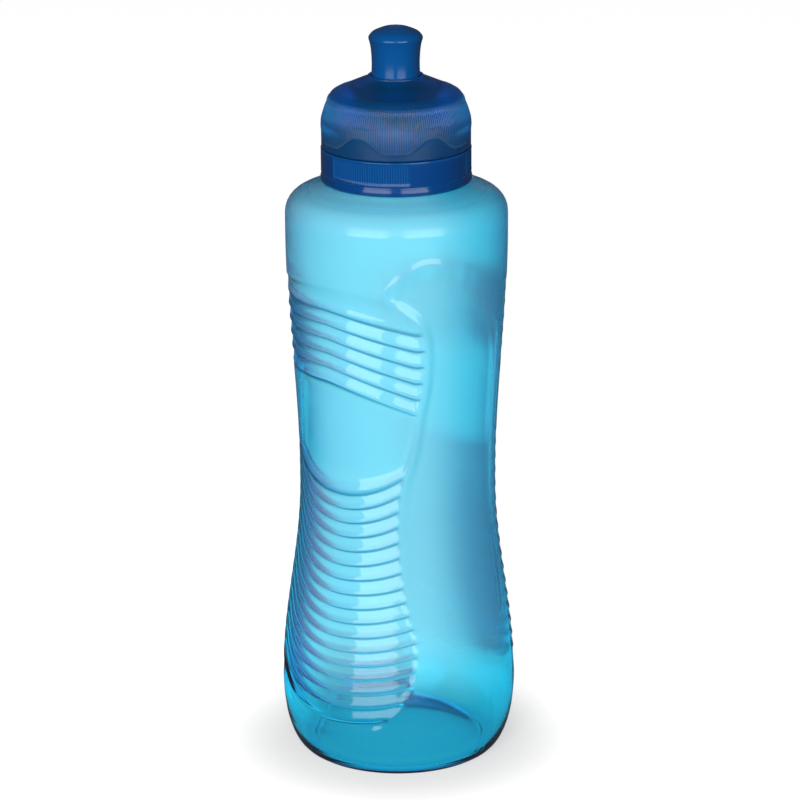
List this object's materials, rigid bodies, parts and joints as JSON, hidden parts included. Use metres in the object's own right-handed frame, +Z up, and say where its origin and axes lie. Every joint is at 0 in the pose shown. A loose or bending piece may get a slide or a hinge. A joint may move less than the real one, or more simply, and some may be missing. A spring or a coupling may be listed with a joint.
{
  "type": "sports squeeze bottle",
  "caption": "Waisted translucent squeeze bottle with ridged and finger grip panels, a ribbed screw cap, and a twist dome that raises the drinking spout.",
  "frame": {"origin": "centre of the foot, on the surface that the bottle stands on", "axes": "+Z up along the bottle's axis to the spout; -Y looks out through the middle of one ridged panel; the mould's parting plane is the XZ plane"},
  "size_m": [0.0834, 0.083, 0.2616],
  "materials": {
    "body_plastic": "clear tinted squeeze plastic, glossy",
    "cap_plastic": "slightly translucent moulded blue plastic, satin gloss",
    "dome_plastic": "translucent deep blue plastic, glossy",
    "spout_plastic": "blue plastic, smooth gloss",
    "inner_plastic": "plain moulded blue plastic",
    "seal_silicone": "soft pale silicone"
  },
  "bodies": {
    "bottle": {"bottle_body": "body_plastic"},
    "gasket": {"neck_gasket": "seal_silicone"},
    "cap": {"screw_cap": "cap_plastic", "valve_stem": "inner_plastic", "stem_o_ring": "seal_silicone"},
    "dome": {"twist_dome": "dome_plastic", "cam_sleeve": "inner_plastic"},
    "spout": {"spout": "spout_plastic"}
  },
  "joints": [
    {"name": "cap_rise", "type": "slide", "parent": "bottle", "child": "gasket", "axis": [0, 0, 1], "range_m": [0, 0.01351]},
    {"name": "cap_unscrew", "type": "hinge", "parent": "gasket", "child": "cap", "pos_m": [0, 0, 0.2], "axis": [0, 0, 1], "range_deg": [0, 1080]},
    {"name": "dome_twist", "type": "hinge", "parent": "cap", "child": "dome", "pos_m": [0, 0, 0.23], "axis": [0, 0, 1], "range_deg": [0, 90]},
    {"name": "spout_rise", "type": "slide", "parent": "cap", "child": "spout", "axis": [0, 0, 1], "range_m": [0, 0.00451]}
  ],
  "couplings": [
    {"joint": "cap_rise", "follows": "cap_unscrew", "m_per_rad": 0.0007162},
    {"joint": "spout_rise", "follows": "dome_twist", "m_per_rad": 0.0028648}
  ]
}
